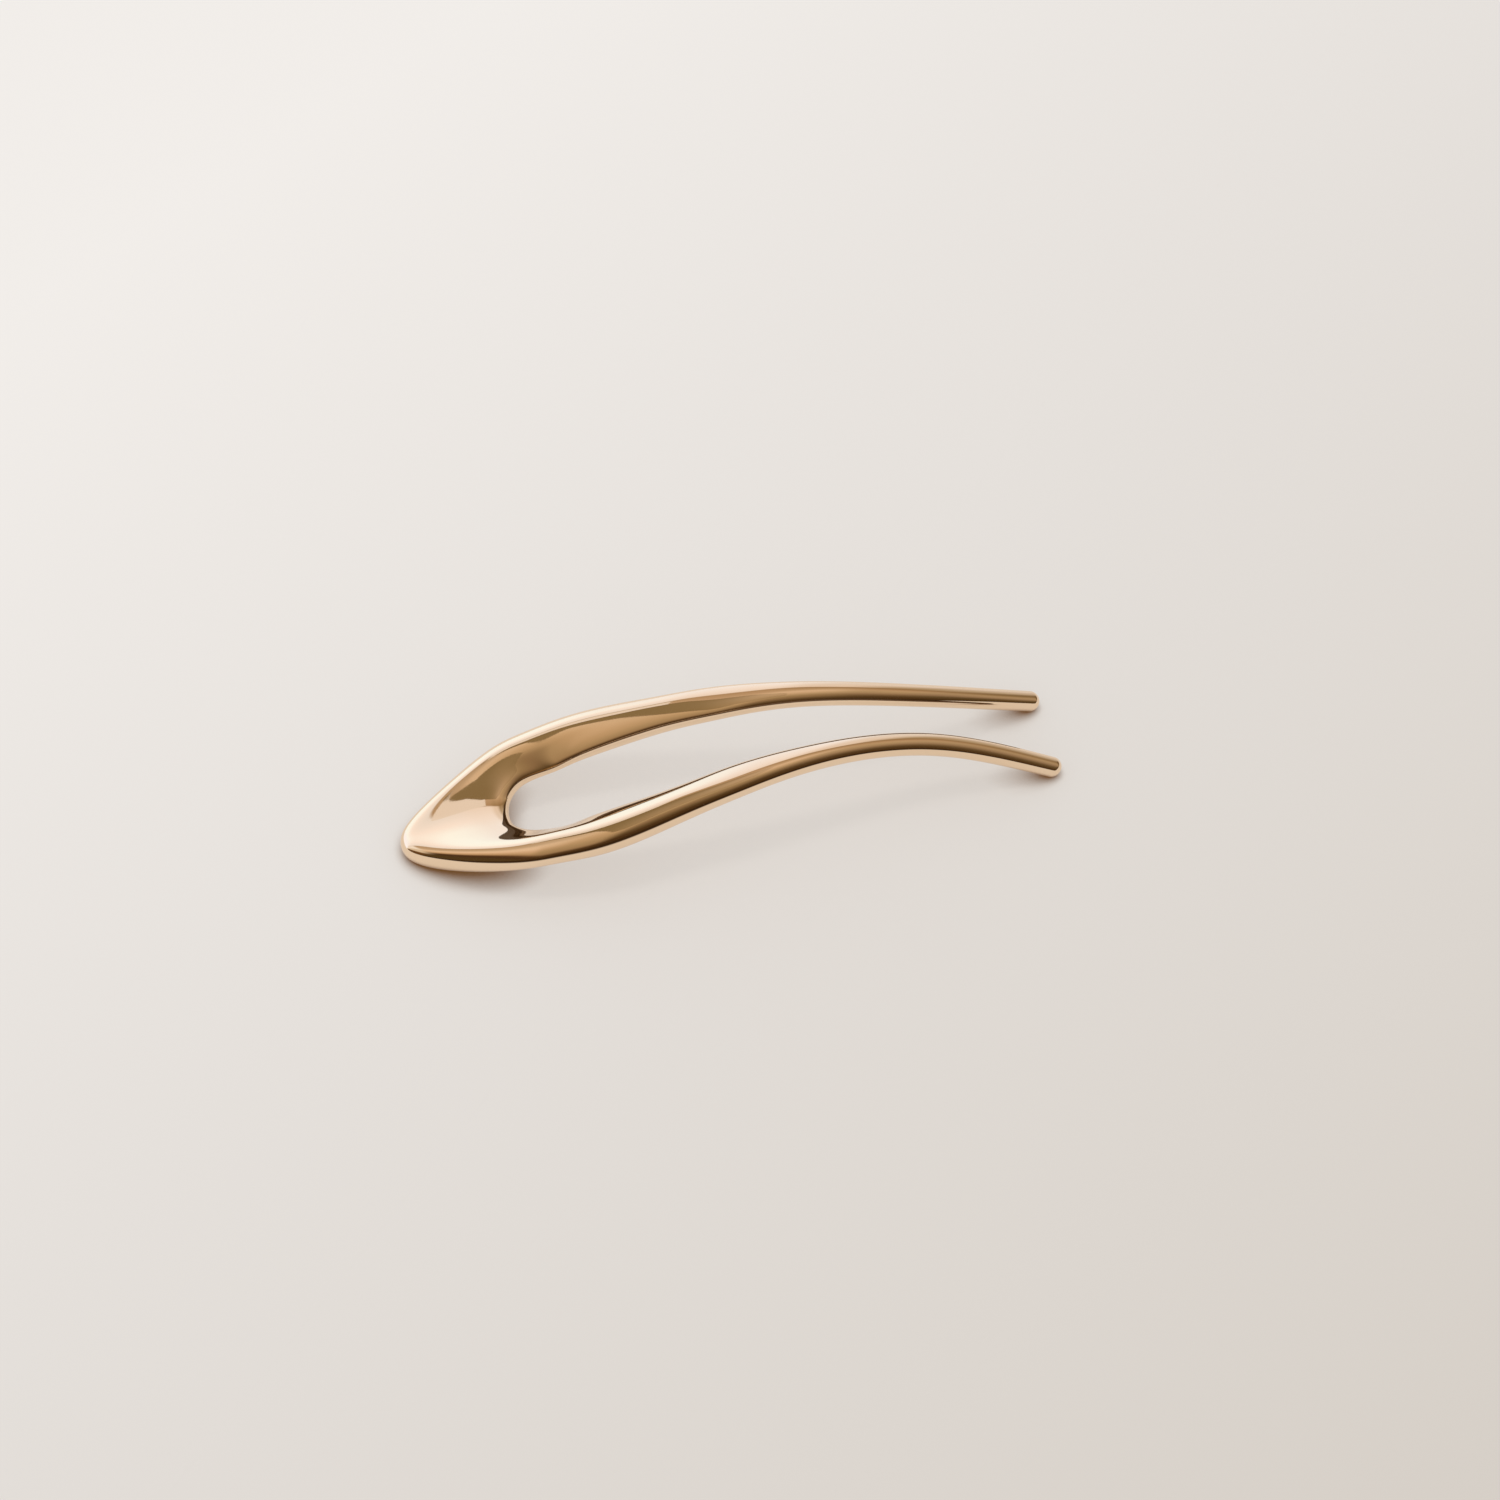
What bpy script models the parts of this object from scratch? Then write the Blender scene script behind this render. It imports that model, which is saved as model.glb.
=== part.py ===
"""U-shaped hair stick, cast in one piece and plated in a gold tone.

The stick lies on a table with its nose towards -X and its two tips towards +X.
X runs along it, Y across it and Z up, with the origin under the middle of its
bounding box. It is one loft: closed sections run from one tip, round the dished
bow and out to the other tip. All sizes are in metres.
"""
from math import radians

import bmesh
import bpy
import numpy as np

# Seen from above, at the middle surface
overall_length = 0.1144         # nose to the ends of the tips
bow_width = 0.0285              # across the shoulders, the widest place
bow_web = 0.0189                # metal from the nose to the end of the slot
shoulder_run = 0.0326           # nose to the shoulders
slot_width = 0.0129             # between the prongs at the shoulders
waist_spacing = 0.0110          # prong to prong, middle to middle, where they come closest
tip_spacing = 0.0149            # prong to prong, middle to middle, at the tips

# Sections
nose_thickness = 0.0055
root_thickness = 0.0056
waist_diameter = 0.0039
tip_diameter = 0.0036

# Side view
crown_height = 0.0140           # middle surface above the table, at the top of the arch
dish_rise = 0.0050              # how far the shoulders stand above the middle of the bow
land_depth = 0.00015            # metal polished off under the bow, which leaves a flat land
tip_clearance = 0.00002         # tips above the table, so that the land carries the bow

# Stations along each half, as shares of the way from the nose to the tip
bow_station_shares = (0.0, 0.035, 0.075, 0.125, 0.19)
prong_station_shares = (0.28, 0.40, 0.55, 0.70, 0.85, 1.0)

# Outer edge of the bow, as shares of the shoulder run and of half the bow width
outer_x_shares = (0.0, 0.029, 0.176, 0.463, 0.711, 1.0)
outer_y_shares = (0.0, 0.197, 0.462, 0.786, 0.923, 1.0)

# End of the slot, as shares of the run from there to the shoulders and of half its width
slot_x_shares = (0.0, 0.027, 0.095, 0.265, 0.638, 1.0)
slot_y_shares = (0.0, 0.339, 0.595, 0.844, 0.959, 1.0)

# Thickness of the bow up to the shoulders, as shares of the nose thickness
bow_thickness_shares = (1.0, 1.004, 1.0, 0.948, 0.90)

# Prongs from the shoulders to the waist: places as shares of the length to the middle of
# the tips, and sizes as shares of the way from the waist's size back to the shoulder's
prong_x_shares = (0.398, 0.502, 0.626, 0.809, 1.0)
prong_spread_shares = (1.0, 0.889, 0.634, 0.299, 0.0)
prong_width_shares = (1.0, 0.678, 0.52, 0.17, 0.0)
prong_thickness_shares = (1.0, 0.902, 0.445, 0.201, 0.0)

# Arch of the middle surface, as shares of the length to the middle of the tips and of the
# rise from the nose to the crown
arch_x_shares = (0.0, 0.07, 0.16, 0.27, 0.39, 0.535, 0.68, 0.84, 1.0)
arch_rise_shares = (0.0, 0.124, 0.258, 0.419, 0.686, 0.99, 1.013, 0.642)

# How far the sections lean with the dish: fully in the bow, not at all from the waist on
bow_lean_shares = (1.0, 1.01, 1.03, 1.13, 1.18)
prong_lean_shares = (0.69, 0.53, 0.25, 0.0, 0.0, 0.0)

# How much thicker a section is at the outer edge than in its middle, and thinner at the slot
bow_taper_shares = (0.04, 0.06, 0.09, 0.26, 0.50)
prong_taper_shares = (0.35, 0.20, 0.10, 0.10, 0.0, 0.0)

# How squarely a wide section turns from its flat faces into its round rim
edge_squareness_share = 1.97

# Fineness of the mesh
section_count = 129
points_per_section = 28
cap_angles = tuple(radians(angle) for angle in (18, 36, 54, 72))
sharp_angle = radians(35)

gold_tone = (0.945, 0.725, 0.50, 1.0)
gold_roughness = 0.12


def smooth_curve(stations, values):
    """Return the natural cubic curve through the values, or its slope on request."""
    stations = np.asarray(stations, dtype=float)
    values = np.asarray(values, dtype=float)
    gaps = np.diff(stations)
    rises = np.diff(values) / gaps
    count = len(stations)
    matrix = np.eye(count)
    target = np.zeros(count)
    for i in range(1, count - 1):
        matrix[i, i - 1:i + 2] = gaps[i - 1], 2 * (gaps[i - 1] + gaps[i]), gaps[i]
        target[i] = 6 * (rises[i] - rises[i - 1])
    bend = np.linalg.solve(matrix, target)

    def curve(place, slope=False):
        place = np.asarray(place, dtype=float)
        i = np.clip(np.searchsorted(stations, place) - 1, 0, count - 2)
        left = (stations[i + 1] - place) / gaps[i]
        right = (place - stations[i]) / gaps[i]
        if slope:
            turn = (1 - 3 * left**2) * bend[i] + (3 * right**2 - 1) * bend[i + 1]
            return rises[i] + gaps[i] * turn / 6
        cubic = (left**3 - left) * bend[i] + (right**3 - right) * bend[i + 1]
        return left * values[i] + right * values[i + 1] + gaps[i]**2 * cubic / 6

    return curve


def both_halves(values, sign):
    """Return the curve along the whole stick: sign is 1 for sizes and X, -1 for Y."""
    stations = np.array(bow_station_shares + prong_station_shares)
    values = np.asarray(values, dtype=float)
    return smooth_curve(np.concatenate([-stations[:0:-1], stations]),
                        np.concatenate([sign * values[:0:-1], values]))


def from_waist(waist_size, root_size, shares):
    """Sizes of a prong from its root to the waist."""
    return waist_size + (root_size - waist_size) * np.array(shares)


def outlines():
    """Return the outer edge, the slot's edge and the half thickness as curves."""
    tip_middle = overall_length - tip_diameter / 2
    bow_outer_x = shoulder_run * np.array(outer_x_shares)
    bow_outer_y = bow_width / 2 * np.array(outer_y_shares)
    bow_slot_x = bow_web + (shoulder_run - bow_web) * np.array(slot_x_shares)
    bow_slot_y = slot_width / 2 * np.array(slot_y_shares)

    # Prongs: a middle line with its width laid off square to it on both sides
    prong_x = np.concatenate([[shoulder_run], tip_middle * np.array(prong_x_shares)])
    root_spread = (bow_width + slot_width) / 4
    spread = from_waist(waist_spacing / 2, root_spread, prong_spread_shares)
    spread = np.append(spread, tip_spacing / 2)
    width = from_waist(waist_diameter, (bow_width - slot_width) / 2, prong_width_shares)
    width = np.append(width, tip_diameter)
    slope = smooth_curve(prong_x, spread)(prong_x, slope=True)
    side_x = -slope / np.hypot(1, slope) * width / 2
    side_y = 1 / np.hypot(1, slope) * width / 2

    thickness = np.concatenate([
        nose_thickness * np.array(bow_thickness_shares),
        from_waist(waist_diameter, root_thickness, prong_thickness_shares),
        [tip_diameter],
    ])
    return {
        "outer_x": both_halves([*bow_outer_x, *(prong_x + side_x)[1:]], 1),
        "outer_y": both_halves([*bow_outer_y, *(spread + side_y)[1:]], -1),
        "slot_x": both_halves([*bow_slot_x, *(prong_x - side_x)[1:]], 1),
        "slot_y": both_halves([*bow_slot_y, *(spread - side_y)[1:]], -1),
        "half_thickness": both_halves(thickness / 2, 1),
        "lean": both_halves(bow_lean_shares + prong_lean_shares, 1),
        "taper": both_halves(bow_taper_shares + prong_taper_shares, 1),
    }


def middle_surface(nose_height):
    """Return the arch along X and the strength of the dish.

    A section's middle is at arch(x) + dish * y * y.
    """
    dish = dish_rise / (bow_width / 2)**2
    tip_height = tip_diameter / 2 + tip_clearance - dish * (tip_spacing / 2)**2
    rise = crown_height - nose_height
    heights = np.append(nose_height + rise * np.array(arch_rise_shares), tip_height)
    tip_middle = overall_length - tip_diameter / 2
    return smooth_curve(tip_middle * np.array(arch_x_shares), heights), dish


def sections(nose_height):
    """Return the section rings from tip to tip, and the middle point of each."""
    edge = outlines()
    arch, dish = middle_surface(nose_height)
    station = np.linspace(-1, 1, section_count)
    angle = np.linspace(0, 2 * np.pi, points_per_section, endpoint=False)
    middle_x = (edge["outer_x"](station) + edge["slot_x"](station)) / 2
    middle_y = (edge["outer_y"](station) + edge["slot_y"](station)) / 2
    side_x = (edge["outer_x"](station) - edge["slot_x"](station)) / 2
    side_y = (edge["outer_y"](station) - edge["slot_y"](station)) / 2
    half_width = np.hypot(side_x, side_y)[:, None]
    half_thickness = edge["half_thickness"](station)[:, None]
    lean = edge["lean"](station)[:, None]
    taper = edge["taper"](station)[:, None]

    # Across a wide section both rims are round and the face between them is flat
    rim = half_thickness * (1 + taper * np.sign(np.cos(angle))) / half_width
    rim = np.minimum(rim, 1)
    square = np.tanh(edge_squareness_share * np.cos(angle)) / np.tanh(edge_squareness_share)
    across = (1 - rim) * square + rim * np.cos(angle)
    x = middle_x[:, None] + across * side_x[:, None]
    y = middle_y[:, None] + across * side_y[:, None]
    dished = middle_y[:, None]**2 * (1 - lean) + y**2 * lean
    surface = np.stack([x, y, arch(x) + dish * dished], axis=-1)
    normal = np.stack([-arch(x, slope=True), -2 * dish * lean * y, np.ones_like(x)], axis=-1)
    normal /= np.linalg.norm(normal, axis=-1, keepdims=True)
    lift = np.sin(angle) * half_thickness * (1 + taper * across)
    rings = surface + lift[..., None] * normal
    middles = np.stack([middle_x, middle_y, arch(middle_x) + dish * middle_y**2], axis=-1)
    return rings, middles


def resting_nose_height():
    """Find the nose height that puts the bow's underside at the depth of its land."""
    height = nose_thickness / 2
    bow = abs(np.linspace(-1, 1, section_count)) < prong_station_shares[0]
    for _ in range(12):
        rings, _ = sections(height)
        height -= rings[bow, :, 2].min() + land_depth
    return height


def tip_cap(ring, middle, before):
    """Return the rings and the pole that round off a tip."""
    along = middle - before
    reach = along / np.linalg.norm(along) * tip_diameter / 2
    rings = [middle + (ring - middle) * np.cos(angle) + reach * np.sin(angle)
             for angle in cap_angles]
    return rings, middle + reach


def gold_plate():
    """Polished gold-tone plating."""
    material = bpy.data.materials.new("gold_plate")
    material.use_nodes = True
    shader = material.node_tree.nodes["Principled BSDF"]
    shader.inputs["Base Color"].default_value = gold_tone
    shader.inputs["Metallic"].default_value = 1.0
    shader.inputs["Roughness"].default_value = gold_roughness
    material.diffuse_color = gold_tone
    return material


def loft(rings, first_pole, last_pole):
    """Skin the rings one after another and close both ends with a pole."""
    form = bmesh.new()
    loops = [[form.verts.new(point) for point in ring] for ring in rings]
    count = len(loops[0])
    for near, far in zip(loops, loops[1:]):
        for i in range(count):
            j = (i + 1) % count
            form.faces.new((near[i], near[j], far[j], far[i]))
    for loop, pole in ((loops[0], first_pole), (loops[-1], last_pole)):
        end = form.verts.new(pole)
        for i in range(count):
            form.faces.new((loop[i], loop[(i + 1) % count], end))
    bmesh.ops.recalc_face_normals(form, faces=form.faces)
    return form


def cut_land(form):
    """Polish the bow's underside flat at the height of the table."""
    parts = form.verts[:] + form.edges[:] + form.faces[:]
    cut = bmesh.ops.bisect_plane(form, geom=parts, plane_co=(0, 0, 0), plane_no=(0, 0, -1),
                                 clear_outer=True)
    rim = [item for item in cut["geom_cut"] if isinstance(item, bmesh.types.BMEdge)]
    bmesh.ops.contextual_create(form, geom=rim)
    bmesh.ops.recalc_face_normals(form, faces=form.faces)


def hair_stick():
    """The whole stick, one casting from tip to tip."""
    rings, middles = sections(resting_nose_height())
    first_cap, first_pole = tip_cap(rings[0], middles[0], middles[1])
    last_cap, last_pole = tip_cap(rings[-1], middles[-1], middles[-2])
    form = loft([*first_cap[::-1], *rings, *last_cap], first_pole, last_pole)
    cut_land(form)
    bmesh.ops.translate(form, verts=form.verts, vec=(-overall_length / 2, 0, 0))

    mesh = bpy.data.meshes.new("hair_stick")
    form.to_mesh(mesh)
    form.free()
    mesh.shade_smooth()
    mesh.set_sharp_from_angle(angle=sharp_angle)
    mesh.materials.append(gold_plate())
    stick = bpy.data.objects.new("hair_stick", mesh)
    bpy.context.collection.objects.link(stick)
    return stick


for old in list(bpy.data.objects):
    bpy.data.objects.remove(old, do_unlink=True)
hair_stick()
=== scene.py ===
import math
import bpy
import numpy as np
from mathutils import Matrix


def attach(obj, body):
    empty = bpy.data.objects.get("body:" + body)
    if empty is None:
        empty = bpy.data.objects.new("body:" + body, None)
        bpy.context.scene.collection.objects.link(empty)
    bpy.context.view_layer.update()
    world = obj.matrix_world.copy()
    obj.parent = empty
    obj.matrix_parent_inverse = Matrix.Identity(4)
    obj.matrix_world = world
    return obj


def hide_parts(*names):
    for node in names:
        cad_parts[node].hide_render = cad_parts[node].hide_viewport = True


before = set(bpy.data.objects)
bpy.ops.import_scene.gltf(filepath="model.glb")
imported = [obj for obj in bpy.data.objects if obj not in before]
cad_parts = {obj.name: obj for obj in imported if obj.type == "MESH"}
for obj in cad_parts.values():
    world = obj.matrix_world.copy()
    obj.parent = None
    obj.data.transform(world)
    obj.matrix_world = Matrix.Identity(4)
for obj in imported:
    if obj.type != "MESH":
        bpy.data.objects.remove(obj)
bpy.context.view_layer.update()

print("frame loaded:", ", ".join(sorted(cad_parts)))


def linearColor(hexText):                        # sRGB hex to Blender's linear colour
    parts = [int(hexText[i:i + 2], 16) / 255 for i in (1, 3, 5)]
    linear = [p / 12.92 if p <= 0.04045 else ((p + 0.055) / 1.055) ** 2.4 for p in parts]
    return (*linear, 1.0)


def addNode(tree, kind, values=None, links=None, **settings):
    # one node: settings go on the node, values on its sockets, links come from other sockets
    node = tree.nodes.new(kind)
    for name, value in settings.items():
        setattr(node, name, value)
    for socket, value in (values or {}).items():
        node.inputs[socket].default_value = value
    for socket, source in (links or {}).items():
        tree.links.new(source, node.inputs[socket])
    return node


def fillRamp(ramp, stops):                       # stops are (place, hex colour) from left to right
    elements = ramp.color_ramp.elements
    elements[0].position, elements[1].position = stops[0][0], stops[-1][0]
    elements[0].color, elements[1].color = linearColor(stops[0][1]), linearColor(stops[-1][1])
    for place, hexText in stops[1:-1]:
        elements.new(place).color = linearColor(hexText)


# The hair stick: sizes in metres, and shares of them, the same as in the solid model
stick = {
    "length": 0.1144,                            # nose to the ends of the tips
    "bowWidth": 0.0285,
    "bowWeb": 0.0189,                            # nose to the end of the slot
    "shoulderRun": 0.0326,                       # nose to the shoulders
    "slotWidth": 0.0129,
    "waistSpacing": 0.0110,                      # prong to prong, middle to middle
    "tipSpacing": 0.0149,
    "noseThickness": 0.0055,
    "rootThickness": 0.0056,
    "waistDiameter": 0.0039,
    "tipDiameter": 0.0036,
    "crownHeight": 0.0140,
    "dishRise": 0.0050,
    "landDepth": 0.00015,
    "tipClearance": 0.00002,
    # places along each half, 0 at the nose and 1 at the tip, and then shares of the sizes above,
    # at those places
    "bowStations": (0.0, 0.035, 0.075, 0.125, 0.19),
    "prongStations": (0.28, 0.40, 0.55, 0.70, 0.85, 1.0),
    "outerX": (0.0, 0.029, 0.176, 0.463, 0.711, 1.0),
    "outerY": (0.0, 0.197, 0.462, 0.786, 0.923, 1.0),
    "slotX": (0.0, 0.027, 0.095, 0.265, 0.638, 1.0),
    "slotY": (0.0, 0.339, 0.595, 0.844, 0.959, 1.0),
    "bowThickness": (1.0, 1.004, 1.0, 0.948, 0.90),
    "prongX": (0.398, 0.502, 0.626, 0.809, 1.0),
    "prongSpread": (1.0, 0.889, 0.634, 0.299, 0.0),
    "prongWidth": (1.0, 0.678, 0.52, 0.17, 0.0),
    "prongThickness": (1.0, 0.902, 0.445, 0.201, 0.0),
    "archX": (0.0, 0.07, 0.16, 0.27, 0.39, 0.535, 0.68, 0.84, 1.0),
    "archRise": (0.0, 0.124, 0.258, 0.419, 0.686, 0.99, 1.013, 0.642),
    "lean": (1.0, 1.01, 1.03, 1.13, 1.18, 0.69, 0.53, 0.25, 0.0, 0.0, 0.0),
    "taper": (0.04, 0.06, 0.09, 0.26, 0.50, 0.35, 0.20, 0.10, 0.10, 0.0, 0.0),
    "edgeSquareness": 1.97,                      # how flat the sections are between their rims
    "insideShares": (0.9997, 0.9988, 0.9995),    # keep the round surface inside the solid's facets
    "sections": 641,                             # rings from tip to tip
    "around": 112,                               # points in each ring
    "capRings": 18,                              # rings that round off each tip
    "restTries": 12,                             # steps that settle the nose's height
}


def smoothCurve(stations, values):
    # natural cubic curve: between two stations it is the straight line plus a cubic whose bend
    # runs evenly from one station to the next, and both ends are free of bend
    stations = np.asarray(stations, dtype=float)
    values = np.asarray(values, dtype=float)
    gaps = np.diff(stations)
    rises = np.diff(values) / gaps
    inner = gaps[:-1], 2 * (gaps[:-1] + gaps[1:]), gaps[1:]
    matrix = np.eye(len(stations))
    row = np.arange(1, len(stations) - 1)
    for offset, part in zip((-1, 0, 1), inner):
        matrix[row, row + offset] = part
    target = np.zeros(len(stations))
    target[1:-1] = 6 * np.diff(rises)
    bend = np.linalg.solve(matrix, target)

    def curve(place, slope=False):
        i = np.clip(np.searchsorted(stations, place) - 1, 0, len(gaps) - 1)
        left = (stations[i + 1] - place) / gaps[i]
        right = (place - stations[i]) / gaps[i]
        if slope:
            turn = (1 - 3 * left**2) * bend[i] + (3 * right**2 - 1) * bend[i + 1]
            return rises[i] + gaps[i] * turn / 6
        cubic = (left**3 - left) * bend[i] + (right**3 - right) * bend[i + 1]
        return left * values[i] + right * values[i + 1] + gaps[i]**2 * cubic / 6

    return curve


def bothHalves(shape, values, sign):
    # the curve from tip to tip: the second half repeats the first, with X and sizes the same
    # (sign 1) and Y turned over (sign -1)
    stations = np.array(shape["bowStations"] + shape["prongStations"])
    values = np.asarray(values, dtype=float)
    return smoothCurve(np.concatenate([-stations[:0:-1], stations]),
                       np.concatenate([sign * values[:0:-1], values]))


def stickEdges(shape):
    # the outer edge and the slot's edge in plan, and half the thickness, along the stick:
    # shares of the bow's sizes as far as the shoulders, then a middle line for each prong with
    # half its width laid off square to it on both sides
    tipMiddle = shape["length"] - shape["tipDiameter"] / 2
    rootSpread = (shape["bowWidth"] + shape["slotWidth"]) / 4
    rootWidth = (shape["bowWidth"] - shape["slotWidth"]) / 2

    def fromWaist(waist, root, shares, tip):
        return np.append(waist + (root - waist) * np.array(shares), tip)

    outerX = shape["shoulderRun"] * np.array(shape["outerX"])
    outerY = shape["bowWidth"] / 2 * np.array(shape["outerY"])
    slotX = shape["bowWeb"] + (shape["shoulderRun"] - shape["bowWeb"]) * np.array(shape["slotX"])
    slotY = shape["slotWidth"] / 2 * np.array(shape["slotY"])
    prongX = np.append(shape["shoulderRun"], tipMiddle * np.array(shape["prongX"]))
    spread = fromWaist(shape["waistSpacing"] / 2, rootSpread, shape["prongSpread"],
                       shape["tipSpacing"] / 2)
    width = fromWaist(shape["waistDiameter"], rootWidth, shape["prongWidth"], shape["tipDiameter"])
    slope = smoothCurve(prongX, spread)(prongX, slope=True)
    sideX = -slope / np.hypot(1, slope) * width / 2
    sideY = 1 / np.hypot(1, slope) * width / 2
    thickness = np.append(
        shape["noseThickness"] * np.array(shape["bowThickness"]),
        fromWaist(shape["waistDiameter"], shape["rootThickness"], shape["prongThickness"],
                  shape["tipDiameter"]))
    return (bothHalves(shape, np.append(outerX, (prongX + sideX)[1:]), 1),
            bothHalves(shape, np.append(outerY, (spread + sideY)[1:]), -1),
            bothHalves(shape, np.append(slotX, (prongX - sideX)[1:]), 1),
            bothHalves(shape, np.append(slotY, (spread - sideY)[1:]), -1),
            bothHalves(shape, thickness / 2, 1))


def stickRings(shape, noseHeight):
    # rings (station, angle): a point goes across the section from the middle line to the edges,
    # is set on the dished arch, and is lifted off it along its normal by the sine of the angle
    # times half the thickness, which grows by the taper's share towards the outer edge. The arch's
    # height is arch(x) + dish * y * y at a section's middle; across the section it follows the
    # dish by the share that the section leans
    outerX, outerY, slotX, slotY, halfThick = stickEdges(shape)
    dish = shape["dishRise"] / (shape["bowWidth"] / 2)**2
    tipHeight = (shape["tipDiameter"] / 2 + shape["tipClearance"]
                 - dish * (shape["tipSpacing"] / 2)**2)
    rise = shape["crownHeight"] - noseHeight
    tipMiddle = shape["length"] - shape["tipDiameter"] / 2
    arch = smoothCurve(tipMiddle * np.array(shape["archX"]),
                       np.append(noseHeight + rise * np.array(shape["archRise"]), tipHeight))
    station = np.linspace(-1, 1, shape["sections"])[:, None]
    angle = np.linspace(0, 2 * math.pi, shape["around"], endpoint=False)[None, :]
    middleX = (outerX(station) + slotX(station)) / 2
    middleY = (outerY(station) + slotY(station)) / 2
    sideX = (outerX(station) - slotX(station)) / 2
    sideY = (outerY(station) - slotY(station)) / 2
    half = halfThick(station)
    lean = bothHalves(shape, shape["lean"], 1)(station)
    taper = bothHalves(shape, shape["taper"], 1)(station)
    # across the section: the cosine of the angle for the share that the round rims take, and for
    # the rest its hyperbolic tangent, which is flatter in the middle
    rim = half * (1 + taper * np.sign(np.cos(angle))) / np.hypot(sideX, sideY)
    rim = np.minimum(rim, 1)
    square = np.tanh(shape["edgeSquareness"] * np.cos(angle)) / np.tanh(shape["edgeSquareness"])
    across = (1 - rim) * square + rim * np.cos(angle)
    x = middleX + across * sideX
    y = middleY + across * sideY
    normal = np.stack([-arch(x, slope=True), -2 * dish * lean * y, np.ones_like(x)], axis=-1)
    normal /= np.linalg.norm(normal, axis=-1, keepdims=True)
    dished = middleY**2 * (1 - lean) + y**2 * lean
    surface = np.stack([x, y, arch(x) + dish * dished], axis=-1)
    rings = surface + (np.sin(angle) * half * (1 + taper * across))[..., None] * normal
    middles = np.stack([middleX, middleY, arch(middleX) + dish * middleY**2], axis=-1)
    return rings, middles


def restingHeight(shape):
    # the nose height that puts the bow's underside one land depth below the table
    height = shape["noseThickness"] / 2
    bow = abs(np.linspace(-1, 1, shape["sections"])) < shape["prongStations"][0]
    for _ in range(shape["restTries"]):
        rings, _ = stickRings(shape, height)
        height -= rings[bow, :, 2].min() + shape["landDepth"]
    return height


def tipCap(shape, ring, middle, before):
    # a half ball: the ring shrinks with the cosine of the angle and moves on with its sine
    along = (middle - before) / np.linalg.norm(middle - before) * shape["tipDiameter"] / 2
    angle = np.arange(1, shape["capRings"]) / shape["capRings"] * math.pi / 2
    angle = angle[:, None, None]
    return middle + (ring - middle) * np.cos(angle) + along * np.sin(angle), middle + along


def hairStickMesh(shape):
    rings, middles = stickRings(shape, restingHeight(shape))
    firstCap, firstPole = tipCap(shape, rings[0], middles[0], middles[1])
    lastCap, lastPole = tipCap(shape, rings[-1], middles[-1], middles[-2])
    rings = np.concatenate([firstCap[::-1], rings, lastCap])
    rows, count = rings.shape[:2]
    index = np.arange(rows * count).reshape(rows, count)
    onward = np.roll(index, -1, axis=1)
    quads = np.stack([index[:-1], index[1:], onward[1:], onward[:-1]], axis=-1).reshape(-1, 4)
    poles = rows * count + np.arange(2)
    firstFan = np.stack([index[0], onward[0], np.full(count, poles[0])], axis=-1)
    lastFan = np.stack([onward[-1], index[-1], np.full(count, poles[1])], axis=-1)
    points = np.concatenate([rings.reshape(-1, 3), firstPole, lastPole])
    points[:, 0] -= shape["length"] / 2
    points[:, 2] = np.maximum(points[:, 2], 0)   # the land that is polished flat under the bow
    points *= shape["insideShares"]              # along X, Y and Z
    mesh = bpy.data.meshes.new("polished_hair_stick")
    mesh.from_pydata(points.tolist(), [], quads.tolist() + firstFan.tolist() + lastFan.tolist())
    mesh.shade_smooth()
    return mesh


# Gold-plated zinc alloy: die cast, tumbled, buffed and plated. The plating mirrors the room in
# warm tones, the casting under it swells very slightly, and buffing leaves faint hairlines.
goldPlate = {
    "tone": "#F8DFC2",
    "deepTone": "#F6D9B7",
    "toneSize": 0.014,                           # patches where the plating is a shade deeper
    "roughness": 0.040,
    "roughnessSwing": 0.025,
    "swellSize": 0.006,                          # slow waves left by the casting
    "swellDepth": 0.00003,
    "grainSize": 0.0006,                         # orange peel, drawn as coarse as it can show
    "grainDepth": 0.0000006,
    "hairlineLength": 0.012,
    "hairlineWidth": 0.00022,
    "hairlineStart": 0.40,                       # of the noise, where a hairline starts to be dull
    "hairlineEnd": 0.75,
}


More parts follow.
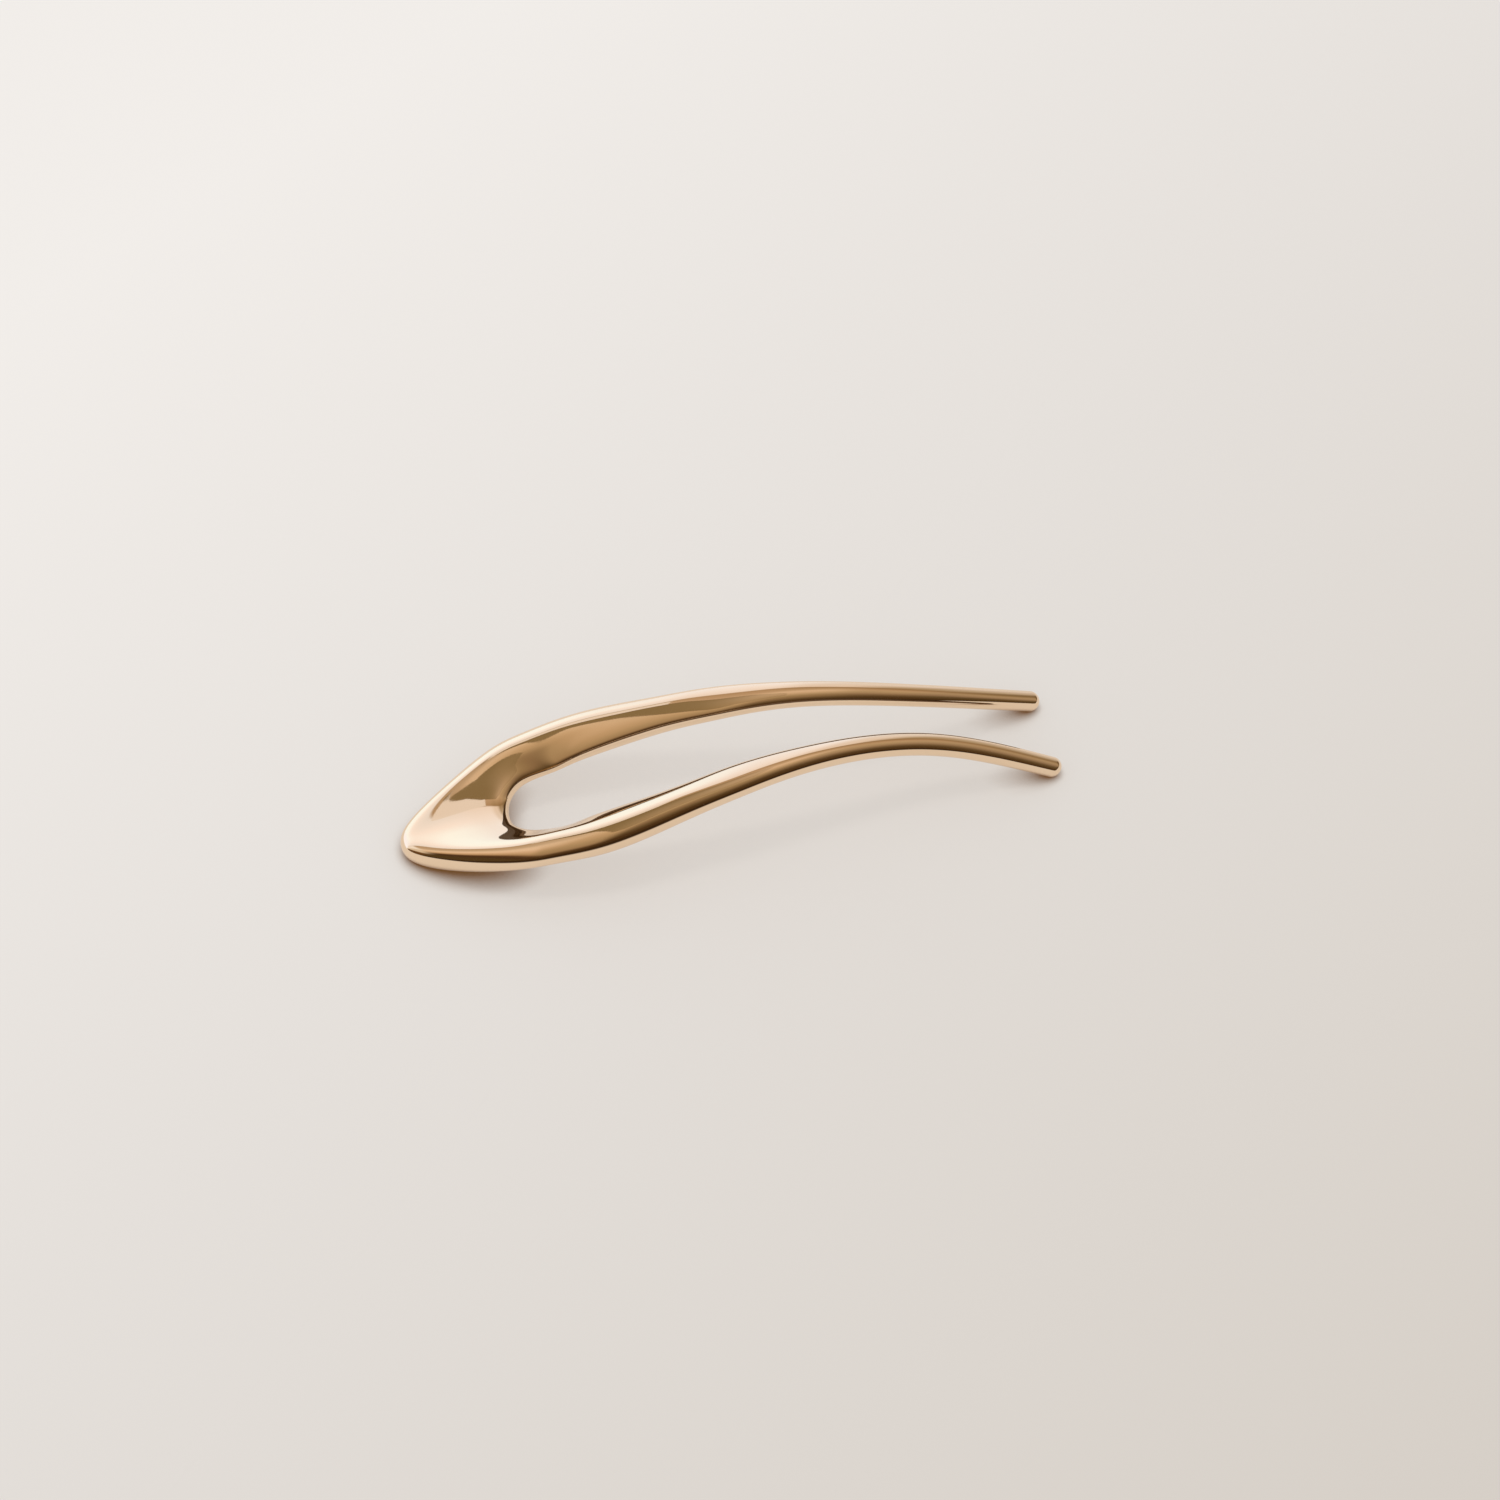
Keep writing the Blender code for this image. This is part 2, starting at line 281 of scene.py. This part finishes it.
def polishedGoldPlating(finish):
    material = bpy.data.materials.new("polished gold-plated zinc alloy")
    material.use_nodes = True
    tree = material.node_tree
    shader = tree.nodes["Principled BSDF"]
    shader.inputs["Metallic"].default_value = 1.0
    place = addNode(tree, "ShaderNodeTexCoord").outputs["Object"]
    patches = addNode(tree, "ShaderNodeTexNoise", {"Scale": 1 / finish["toneSize"], "Detail": 2.0},
                      {"Vector": place})
    tone = addNode(tree, "ShaderNodeMix",
                   {"A": linearColor(finish["tone"]), "B": linearColor(finish["deepTone"])},
                   {"Factor": patches.outputs["Fac"]}, data_type="RGBA")
    tree.links.new(tone.outputs["Result"], shader.inputs["Base Color"])
    lined = addNode(tree, "ShaderNodeMapping",
                    {"Scale": (1 / finish["hairlineLength"], 1 / finish["hairlineWidth"],
                               1 / finish["hairlineWidth"])}, {"Vector": place})
    hairlines = addNode(tree, "ShaderNodeTexNoise", {"Scale": 1.0, "Detail": 1.0},
                        {"Vector": lined.outputs["Vector"]})
    low = finish["roughness"]
    rough = addNode(tree, "ShaderNodeMapRange",
                    {"From Min": finish["hairlineStart"], "From Max": finish["hairlineEnd"],
                     "To Min": low, "To Max": low + finish["roughnessSwing"]},
                    {"Value": hairlines.outputs["Fac"]})
    tree.links.new(rough.outputs["Result"], shader.inputs["Roughness"])
    swell = addNode(tree, "ShaderNodeTexNoise", {"Scale": 1 / finish["swellSize"], "Detail": 0.0},
                    {"Vector": place})
    grain = addNode(tree, "ShaderNodeTexNoise", {"Scale": 1 / finish["grainSize"], "Detail": 1.0},
                    {"Vector": place})
    swellBump = addNode(tree, "ShaderNodeBump", {"Distance": finish["swellDepth"]},
                        {"Height": swell.outputs["Fac"]})
    grainBump = addNode(tree, "ShaderNodeBump", {"Distance": finish["grainDepth"]},
                        {"Height": grain.outputs["Fac"], "Normal": swellBump.outputs["Normal"]})
    tree.links.new(grainBump.outputs["Normal"], shader.inputs["Normal"])
    return material


hairStick = bpy.data.objects.new("polished_hair_stick", hairStickMesh(stick))
bpy.context.scene.collection.objects.link(hairStick)
hairStick.data.materials.append(polishedGoldPlating(goldPlate))
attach(hairStick, "root")
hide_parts("hair_stick")
print("hair stick made:", len(hairStick.data.polygons), "faces")


# The photograph's view: the camera looks at a point on the table, from this side and height
shot = {
    "target": (0.0057, 0.0089, 0.0),
    "distance": 0.740,
    "elevation": math.radians(52),
    "turn": math.radians(-12.6),                 # about the upright, from looking straight along Y
    "fieldOfView": math.radians(20),
    "nearest": 0.01,                             # nothing closer than this is drawn
}


def shotCamera(view):
    camera = bpy.data.objects.new("camera", bpy.data.cameras.new("camera"))
    bpy.context.scene.collection.objects.link(camera)
    bpy.context.scene.camera = camera
    flat = view["distance"] * math.cos(view["elevation"])
    camera.location = (view["target"][0] + flat * math.sin(view["turn"]),
                       view["target"][1] - flat * math.cos(view["turn"]),
                       view["target"][2] + view["distance"] * math.sin(view["elevation"]))
    camera.rotation_euler = (math.pi / 2 - view["elevation"], 0, view["turn"])
    camera.data.angle = view["fieldOfView"]
    camera.data.clip_start = view["nearest"]


shotCamera(shot)


# A plain pale table top. Its tone is painted a shade brighter towards the far left of the view and
# darker towards the near right: painted light falloff. Part of its tone is a glow, which keeps the
# shadows on it faint, and close under the metal it is painted darker and warmer: a painted contact
# shadow with painted gold bounce light. For the metal's reflections it ends in the dim room on the
# viewer's side.
table = {
    "size": 6.0,
    "drop": 0.00002,                             # just clear of the land under the bow
    # painted light falloff: these tones run from bright at the far left to shaded at the near right
    "brightTone": "#F1EDE9",
    "midTone": "#E4DFDA",
    "shadeTone": "#D7D0C8",
    "shadeReach": 0.25,                          # half the distance from the bright to the shade
    "glowShare": 0.5,                            # of its tone that no shadow darkens
    "paintedWarmShadeTone": "#80592F",                       # painted contact shadow and painted gold bounce light, near the metal
    "paintedWarmShadeReach": 0.006,                          # how near the metal has to be
    "paintedWarmShadeStart": 0.80,                           # of the sky that is free where the colour starts
    "paintedWarmShadeEnd": 0.30,
    "paintedWarmShadeSamples": 16,
    "dimTone": "#3A2A18",
    "dimStart": 0.045,                           # how far off the table seems to end
    "dimEnd": 0.062,
    "repeatDim": 0.85,                           # how much dimmer it is in a mirror in a mirror
    "repeatStart": 1.0,                          # counted in mirrors
    "repeatEnd": 2.0,
}


def paleTable(top, view):
    material = bpy.data.materials.new("pale matt table top")
    material.use_nodes = True
    tree = material.node_tree
    shader = tree.nodes["Principled BSDF"]
    shader.inputs["Roughness"].default_value = 1.0
    shader.inputs["Specular IOR Level"].default_value = 0.0
    place = addNode(tree, "ShaderNodeTexCoord").outputs["Object"]
    turned = addNode(tree, "ShaderNodeMapping", {"Rotation": (0, 0, -view["turn"])},
                     {"Vector": place})
    parts = addNode(tree, "ShaderNodeSeparateXYZ", links={"Vector": turned.outputs["Vector"]})
    # painted light falloff: the tone runs from bright at the far left to shaded at the near right
    slant = addNode(tree, "ShaderNodeMath", links={0: parts.outputs["X"], 1: parts.outputs["Y"]},
                    operation="SUBTRACT")
    spot = addNode(tree, "ShaderNodeMapRange",
                   {"From Min": -top["shadeReach"], "From Max": top["shadeReach"]},
                   {"Value": slant.outputs["Value"]})
    tones = addNode(tree, "ShaderNodeValToRGB", links={"Fac": spot.outputs["Result"]})
    fillRamp(tones, [(0.0, top["brightTone"]), (0.5, top["midTone"]), (1.0, top["shadeTone"])])
    # what the metal sees: the table as far as the dim room, and dimmer in a mirror in a mirror;
    # what lights the table again keeps the table's own tone
    off = addNode(tree, "ShaderNodeMapRange",
                  {"From Min": -top["dimStart"], "From Max": -top["dimEnd"]},
                  {"Value": parts.outputs["Y"]})
    ray = addNode(tree, "ShaderNodeLightPath")
    mirrored = addNode(tree, "ShaderNodeMath", operation="MULTIPLY",
                       links={0: off.outputs["Result"], 1: ray.outputs["Is Glossy Ray"]})
    repeated = addNode(tree, "ShaderNodeMapRange",
                       {"From Min": top["repeatStart"], "From Max": top["repeatEnd"],
                        "To Max": top["repeatDim"]},
                       {"Value": ray.outputs["Glossy Depth"]})
    either = addNode(tree, "ShaderNodeMath", operation="MAXIMUM",
                     links={0: mirrored.outputs["Value"], 1: repeated.outputs["Result"]})
    dim = addNode(tree, "ShaderNodeMapRange", {"From Max": 1.0, "To Max": 0.0},
                  {"Value": ray.outputs["Diffuse Depth"], "To Min": either.outputs["Value"]})
    # painted contact shadow with painted gold bounce light: an ambient occlusion mask blends the
    # table's tone towards a dark warm tone within reach of the metal
    free = addNode(tree, "ShaderNodeAmbientOcclusion", {"Distance": top["paintedWarmShadeReach"]},
                   samples=top["paintedWarmShadeSamples"])
    paintedWarmShade = addNode(tree, "ShaderNodeMapRange",
                   {"From Min": top["paintedWarmShadeStart"], "From Max": top["paintedWarmShadeEnd"]},
                   {"Value": free.outputs["AO"]})
    withPaintedWarmShade = addNode(tree, "ShaderNodeMix", {"B": linearColor(top["paintedWarmShadeTone"])},
                  {"Factor": paintedWarmShade.outputs["Result"], "A": tones.outputs["Color"]},
                  data_type="RGBA")
    color = addNode(tree, "ShaderNodeMix", {"B": linearColor(top["dimTone"])},
                    {"Factor": dim.outputs["Result"], "A": withPaintedWarmShade.outputs["Result"]},
                    data_type="RGBA")
    shaded = addNode(tree, "ShaderNodeMix",
                     {"A": (0.0, 0.0, 0.0, 1.0), "Factor": 1 - top["glowShare"]},
                     {"B": color.outputs["Result"]}, data_type="RGBA")
    tree.links.new(shaded.outputs["Result"], shader.inputs["Base Color"])
    tree.links.new(color.outputs["Result"], shader.inputs["Emission Color"])
    shader.inputs["Emission Strength"].default_value = top["glowShare"]
    return material


def flatSheet(name, size):
    half = size / 2
    mesh = bpy.data.meshes.new(name)
    mesh.from_pydata([(-half, -half, 0), (half, -half, 0), (half, half, 0), (-half, half, 0)], [],
                     [(0, 1, 2, 3)])
    sheet = bpy.data.objects.new(name, mesh)
    bpy.context.scene.collection.objects.link(sheet)
    return sheet


floor = flatSheet("table_top", table["size"])
floor.location.z = -table["drop"]
floor.data.materials.append(paleTable(table, shot))
print("table top made")


# The room. It lights things evenly from all round. What the metal mirrors of it is dim and brown
# on the viewer's side, grows lighter upwards, and turns pale past the top, on the far side. Each
# column of tones is for one part of the room, from left to right: 0 is where the brown starts
# and 1 where the pale starts. The angles, in degrees to the right, are where a column takes over
# from the one before.
room = {
    "fill": "#F4F4F4",
    "horizon": "#E3DEDA",
    "strength": 1.5,                             # of the mirrored tones
    "repeatShare": 0.12,                         # how much of it is left in a mirror in a mirror
    "repeatFrom": 1.5,                           # between the first mirror and the second
    "tableFrom": 0.5,                            # between no bounce on the table and the first
    "leastSpan": 0.35,                           # radians from the brown to the pale
    "brownFrom": (12, -0.8, -8),                 # degrees: start, swing, the side it swings from
    "paleFrom": (112, 0.25, -8),
    "columns": [
        {"takesOver": None, "tones": [
            (-0.45, "#563D20"), (-0.2, "#BAAF9E"), (0.3, "#B8B2A8"), (0.6, "#D2D4D5"),
            (1.0, "#CAC9CF"), (1.2, "#D8DEEB"), (1.5, "#DBE7FF")]},
        {"takesOver": (-60, -52), "tones": [
            (-0.3, "#43351F"), (-0.15, "#3E2C1B"), (-0.03, "#4C3825"), (0.06, "#887157"),
            (0.13, "#9F8A6D"), (0.26, "#B39C85"), (0.4, "#C2B09D"), (0.54, "#BEAE9C"),
            (0.68, "#A79885"), (0.985, "#9A8770"), (1.015, "#CACED8"), (1.2, "#D9DAE4"),
            (1.35, "#DCEBFA"), (1.6, "#DAEEFF")]},
        {"takesOver": (-22, -10), "tones": [
            (-0.25, "#3C2B16"), (-0.12, "#392812"), (-0.02, "#4A3723"), (0.08, "#877459"),
            (0.22, "#938165"), (0.35, "#A08C70"), (0.5, "#AC987E"), (0.66, "#B7A58F"),
            (0.74, "#B8A590"), (0.85, "#A28D76"), (0.985, "#957F65"), (1.015, "#CCC8CA"),
            (1.2, "#D2D3DC"), (1.5, "#D4DCEC")]},
        {"takesOver": (0, 12), "tones": [
            (-0.12, "#392914"), (0, "#42301C"), (0.12, "#574831"), (0.24, "#746149"),
            (0.36, "#827155"), (0.48, "#98866C"), (0.6, "#AD9981"), (0.72, "#B8A590"),
            (0.84, "#9E8A71"), (0.985, "#867256"), (1.015, "#C4BBB6"), (1.44, "#C3C3C7")]},
        {"takesOver": (16, 32), "tones": [
            (-0.12, "#3E2D17"), (0, "#402F1A"), (0.14, "#4B3B27"), (0.26, "#62523C"),
            (0.38, "#7A6852"), (0.5, "#8D7C63"), (0.62, "#97866C"), (0.73, "#9E8B72"),
            (0.85, "#957F65"), (0.985, "#7D694D"), (1.02, "#8B7A62"), (1.2, "#9A8F7E"),
            (1.44, "#AFA8A3")]},
        {"takesOver": (38, 56), "tones": [
            (0, "#43341C"), (0.24, "#574933"), (0.48, "#806F5A"), (0.72, "#908068"),
            (0.84, "#8E7D65"), (0.96, "#7A694E"), (1.2, "#53412A"), (1.5, "#82725D")]},
    ],
}
lamp = {
    "height": 1.0,
    "size": 0.22,
    "lean": (-0.10, 0.12),                       # how far it hangs off the middle, X and Y
    "power": 1.1,
    "tone": "#FFFDFA",
}


def litRoom(walls, view):
    world = bpy.data.worlds.new("room")
    bpy.context.scene.world = world
    world.use_nodes = True
    tree = world.node_tree
    tree.nodes.clear()
    place = addNode(tree, "ShaderNodeTexCoord").outputs["Generated"]
    turned = addNode(tree, "ShaderNodeMapping", {"Rotation": (0, 0, -view["turn"])},
                     {"Vector": place})
    parts = addNode(tree, "ShaderNodeSeparateXYZ", links={"Vector": turned.outputs["Vector"]})

    def combine(operation, first, second=0.0):   # each is a number or another node's socket
        node = addNode(tree, "ShaderNodeMath", operation=operation)
        for socket, value in zip(node.inputs, (first, second)):
            if isinstance(value, (int, float)):
                socket.default_value = value
            else:
                tree.links.new(value, socket)
        return node.outputs["Value"]

    def swung(start, swing, side):               # an angle that grows past a side
        past = combine("SUBTRACT", aside, math.radians(side))
        if swing < 0:
            past = combine("MULTIPLY", past, -1.0)
        grown = combine("MULTIPLY", combine("MAXIMUM", past, 0.0), abs(swing))
        return combine("ADD", grown, math.radians(start))

    # over: the angle over the top from the viewer's horizon; aside: the angle to the right
    toViewer = combine("MULTIPLY", parts.outputs["Y"], -1.0)
    over = combine("ARCTAN2", parts.outputs["Z"], toViewer)
    aside = combine("ARCSINE", parts.outputs["X"])
    low = swung(*walls["brownFrom"])
    span = combine("SUBTRACT", swung(*walls["paleFrom"]), low)
    span = combine("MAXIMUM", span, walls["leastSpan"])
    share = combine("DIVIDE", combine("SUBTRACT", over, low), span)
    mirrored = None
    for column in walls["columns"]:
        first, last = column["tones"][0][0], column["tones"][-1][0]
        spot = addNode(tree, "ShaderNodeMapRange", {"From Min": first, "From Max": last},
                       {"Value": share})
        ramp = addNode(tree, "ShaderNodeValToRGB", links={"Fac": spot.outputs["Result"]})
        fillRamp(ramp, [((at - first) / (last - first), tone) for at, tone in column["tones"]])
        if mirrored is None:
            mirrored = ramp.outputs["Color"]
            continue
        start, end = (math.radians(angle) for angle in column["takesOver"])
        turn = addNode(tree, "ShaderNodeMapRange", {"From Min": start, "From Max": end},
                       {"Value": aside}, interpolation_type="SMOOTHSTEP")
        mirrored = addNode(tree, "ShaderNodeMix", data_type="RGBA",
                           links={"Factor": turn.outputs["Result"], "A": mirrored,
                                  "B": ramp.outputs["Color"]}).outputs["Result"]
    ray = addNode(tree, "ShaderNodeLightPath")
    repeated = combine("GREATER_THAN", ray.outputs["Glossy Depth"], walls["repeatFrom"])
    kept = combine("SUBTRACT", 1.0, combine("MULTIPLY", repeated, 1 - walls["repeatShare"]))
    bright = addNode(tree, "ShaderNodeBackground",
                     links={"Color": mirrored, "Strength": combine("MULTIPLY", kept,
                                                                   walls["strength"])})
    plain = addNode(tree, "ShaderNodeBackground", {"Color": linearColor(walls["fill"])})
    direct = combine("LESS_THAN", ray.outputs["Diffuse Depth"], walls["tableFrom"])
    tonesShow = combine("MULTIPLY", ray.outputs["Is Glossy Ray"], direct)
    seen = addNode(tree, "ShaderNodeBackground", {"Color": linearColor(walls["horizon"])})
    glossy = addNode(tree, "ShaderNodeMixShader",
                     links={0: tonesShow, 1: plain.outputs["Background"],
                            2: bright.outputs["Background"]})
    whole = addNode(tree, "ShaderNodeMixShader",
                    links={0: ray.outputs["Is Camera Ray"], 1: glossy.outputs["Shader"],
                           2: seen.outputs["Background"]})
    addNode(tree, "ShaderNodeOutputWorld", links={"Surface": whole.outputs["Shader"]})


def softLamp(light):
    data = bpy.data.lights.new("soft_lamp", "AREA")
    data.shape = "DISK"
    data.size = light["size"]
    data.energy = light["power"]
    data.color = linearColor(light["tone"])[:3]
    body = bpy.data.objects.new("soft_lamp", data)
    bpy.context.scene.collection.objects.link(body)
    body.location = (*light["lean"], light["height"])
    body.rotation_euler = (math.atan2(light["lean"][1], light["height"]),
                           -math.atan2(light["lean"][0], light["height"]), 0)
    body.visible_glossy = False                  # the room's own tones make the highlights
    return body


# Two cards lie level over the stick's bow and glow, and only the metal sees them, in reflection:
# the olive one's reflection is the darker olive patch on the bow, and the pale one's makes its
# crisp lower edge.
cards = {
    "height": 0.160,
    "fadeStart": -0.055,                         # the cards thin out to the right, from here
    "fadeEnd": 0.035,
    "solidShare": 0.95,                          # of a card's own tone at its left and right ends
    "thinShare": 0.30,
    "olive": {"tone": "#857452", "corners": (
        (-0.113, 0.014), (-0.124, 0.030), (-0.106, 0.014), (-0.098, 0.003), (-0.066, -0.035),
        (-0.045, -0.090), (-0.024, -0.156), (-0.009, -0.168), (-0.001, -0.148), (0.002, -0.127),
        (0.020, -0.115), (0.040, -0.080), (0.030, -0.020), (0.0, 0.008), (-0.060, 0.012),
        (-0.079, 0.006))},
    "pale": {"tone": "#EEEAEA", "corners": (
        (-0.113, 0.014), (-0.079, 0.006), (-0.060, 0.012), (-0.050, 0.010), (-0.052, 0.045),
        (-0.128, 0.052))},
}


def glossyCard(name, shape, tone, corners, view):
    # a flat card that gives off its own tone; it is turned with the view, and its corners are
    # counted from over the point that the camera looks at
    mesh = bpy.data.meshes.new(name)
    mesh.from_pydata([(x, y, 0) for x, y in corners], [], [list(range(len(corners)))])
    material = bpy.data.materials.new("card that only the metal sees")
    material.use_nodes = True
    tree = material.node_tree
    tree.nodes.clear()
    place = addNode(tree, "ShaderNodeTexCoord").outputs["Object"]
    parts = addNode(tree, "ShaderNodeSeparateXYZ", links={"Vector": place})
    share = addNode(tree, "ShaderNodeMapRange",
                    {"From Min": shape["fadeStart"], "From Max": shape["fadeEnd"],
                     "To Min": shape["solidShare"], "To Max": shape["thinShare"]},
                    {"Value": parts.outputs["X"]}, interpolation_type="SMOOTHSTEP")
    clear = addNode(tree, "ShaderNodeBsdfTransparent")
    glow = addNode(tree, "ShaderNodeEmission", {"Color": linearColor(tone)})
    whole = addNode(tree, "ShaderNodeMixShader",
                    links={0: share.outputs["Result"], 1: clear.outputs["BSDF"],
                           2: glow.outputs["Emission"]})
    addNode(tree, "ShaderNodeOutputMaterial", links={"Surface": whole.outputs["Shader"]})
    mesh.materials.append(material)
    sheet = bpy.data.objects.new(name, mesh)
    bpy.context.scene.collection.objects.link(sheet)
    sheet.location = (view["target"][0], view["target"][1], shape["height"])
    sheet.rotation_euler.z = view["turn"]
    for kind in ("camera", "diffuse", "transmission", "volume_scatter", "shadow"):
        setattr(sheet, "visible_" + kind, False)


for cardName in ("olive", "pale"):
    glossyCard(cardName + "_card", cards, cards[cardName]["tone"], cards[cardName]["corners"], shot)


litRoom(room, shot)
softLamp(lamp)
print("room lit")

bpy.context.scene.view_settings.view_transform = "Standard"
